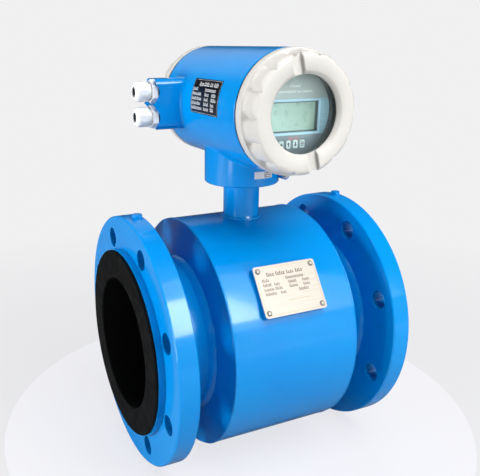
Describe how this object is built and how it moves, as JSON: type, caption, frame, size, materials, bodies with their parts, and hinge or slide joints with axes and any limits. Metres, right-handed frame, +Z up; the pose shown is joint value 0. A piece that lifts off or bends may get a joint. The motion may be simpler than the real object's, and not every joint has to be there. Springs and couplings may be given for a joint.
{
  "type": "electromagnetic flow meter",
  "caption": "Flanged electromagnetic flow meter: rubber-lined pipe between drilled flanges, welded coil housing, and a cast converter head with display window and cable glands on a neck.",
  "frame": {"origin": "on the pipe axis, midway between the two lined faces", "axes": "+X along the flow towards the outlet flange, -Y towards the display, +Z up to the converter head"},
  "size_m": [0.3, 0.285, 0.4573],
  "materials": {
    "blue_paint": "gloss blue enamel",
    "cover_paint": "satin off-white enamel",
    "lining_rubber": "matt black",
    "seal_rubber": "matt black",
    "pole_steel": "plain steel",
    "winding": "varnished copper wire",
    "electrode_steel": "polished stainless steel",
    "insulator": "white fluoroplastic",
    "fastener_steel": "zinc plated",
    "plate_aluminium": "brushed, printed with plain grey fields",
    "glass": "clear toughened glass",
    "ring_metal": "black anodised aluminium",
    "board": "green solder mask",
    "transformer": "laminated core, taped winding",
    "spacer_brass": "plain brass",
    "black_plastic": "matt black",
    "display": "pale green display under clear plastic",
    "panel_film": "grey printed film with a light blue band",
    "terminal_plastic": "green moulding",
    "key_rubber": "translucent pale keys",
    "gland_nylon": "white nylon",
    "black_label": "black film with white rules",
    "white_label": "white paper film with plain digits"
  },
  "bodies": {
    "meter": {"flow_tube": "blue_paint", "outlet_flange": "blue_paint", "inlet_flange": "blue_paint", "outlet_ground_bolt": "blue_paint", "inlet_ground_bolt": "blue_paint", "coil_shell": "blue_paint", "outlet_end_plate": "blue_paint", "inlet_end_plate": "blue_paint", "neck_pipe": "blue_paint", "nameplate_bracket": "blue_paint", "head_housing": "blue_paint", "rubber_lining": "lining_rubber", "upper_pole": "pole_steel", "lower_pole": "pole_steel", "flux_yoke": "pole_steel", "upper_coil": "winding", "lower_coil": "winding", "front_electrode": "electrode_steel", "rear_electrode": "electrode_steel", "electrode_bushes": "insulator", "electrode_nuts": "fastener_steel", "neck_locknut": "fastener_steel", "ground_screw": "fastener_steel", "ground_washer": "fastener_steel", "panel_screws": "fastener_steel", "terminal_screws": "fastener_steel", "nameplate": "plate_aluminium", "nameplate_rivets": "plate_aluminium", "gland_washers": "seal_rubber", "power_board": "board", "display_board": "board", "terminal_board": "board", "transformer": "transformer", "board_spacers": "spacer_brass", "panel_spacers": "spacer_brass", "key_switches": "black_plastic", "display_bezel": "black_plastic", "lcd_module": "display", "display_panel": "panel_film", "terminal_block": "terminal_plastic", "rating_label": "black_label", "serial_sticker": "white_label", "upper_gland_body": "gland_nylon", "lower_gland_body": "gland_nylon"},
    "front_seal": {"front_o_ring": "seal_rubber"},
    "front_cover": {"front_cover": "cover_paint", "glass_gasket": "seal_rubber", "front_glass": "glass", "glass_ring": "ring_metal"},
    "rear_seal": {"rear_o_ring": "seal_rubber"},
    "rear_cover": {"rear_cover": "cover_paint"},
    "upper_seal": {"upper_gland_seal": "seal_rubber"},
    "upper_cap": {"upper_gland_cap": "gland_nylon"},
    "lower_seal": {"lower_gland_seal": "seal_rubber"},
    "lower_cap": {"lower_gland_cap": "gland_nylon"},
    "key_1": {"key_1": "key_rubber"},
    "key_2": {"key_2": "key_rubber"},
    "key_3": {"key_3": "key_rubber"},
    "key_4": {"key_4": "key_rubber"}
  },
  "joints": [
    {"name": "front_cover_travel", "type": "slide", "parent": "meter", "child": "front_seal", "axis": [0, -1, 0], "range_m": [0, 0.0101]},
    {"name": "front_cover_turn", "type": "hinge", "parent": "front_seal", "child": "front_cover", "pos_m": [0, -0.0932, 0.2553], "axis": [0, -1, 0], "range_deg": [0, 1800]},
    {"name": "rear_cover_travel", "type": "slide", "parent": "meter", "child": "rear_seal", "axis": [0, 1, 0], "range_m": [0, 0.0101]},
    {"name": "rear_cover_turn", "type": "hinge", "parent": "rear_seal", "child": "rear_cover", "pos_m": [0, 0.0812, 0.2553], "axis": [0, 1, 0], "range_deg": [0, 1800]},
    {"name": "upper_cap_travel", "type": "slide", "parent": "meter", "child": "upper_seal", "axis": [-1, 0, 0], "range_m": [0, 0.0046]},
    {"name": "upper_cap_turn", "type": "hinge", "parent": "upper_seal", "child": "upper_cap", "pos_m": [-0.0937, 0.0465, 0.2686], "axis": [-1, 0, 0], "range_deg": [0, 1080]},
    {"name": "lower_cap_travel", "type": "slide", "parent": "meter", "child": "lower_seal", "axis": [-1, 0, 0], "range_m": [0, 0.0046]},
    {"name": "lower_cap_turn", "type": "hinge", "parent": "lower_seal", "child": "lower_cap", "pos_m": [-0.0937, 0.0465, 0.242], "axis": [-1, 0, 0], "range_deg": [0, 1080]},
    {"name": "key_1_press", "type": "slide", "parent": "meter", "child": "key_1", "axis": [0, 1, 0], "range_m": [0, 0.0006], "stiffness_N_per_m": 300},
    {"name": "key_2_press", "type": "slide", "parent": "meter", "child": "key_2", "axis": [0, 1, 0], "range_m": [0, 0.0006], "stiffness_N_per_m": 300},
    {"name": "key_3_press", "type": "slide", "parent": "meter", "child": "key_3", "axis": [0, 1, 0], "range_m": [0, 0.0006], "stiffness_N_per_m": 300},
    {"name": "key_4_press", "type": "slide", "parent": "meter", "child": "key_4", "axis": [0, 1, 0], "range_m": [0, 0.0006], "stiffness_N_per_m": 300}
  ],
  "couplings": [
    {"joint": "front_cover_travel", "follows": "front_cover_turn", "m_per_rad": 0.00031831},
    {"joint": "rear_cover_travel", "follows": "rear_cover_turn", "m_per_rad": 0.00031831},
    {"joint": "upper_cap_travel", "follows": "upper_cap_turn", "m_per_rad": 0.00023873},
    {"joint": "lower_cap_travel", "follows": "lower_cap_turn", "m_per_rad": 0.00023873}
  ]
}
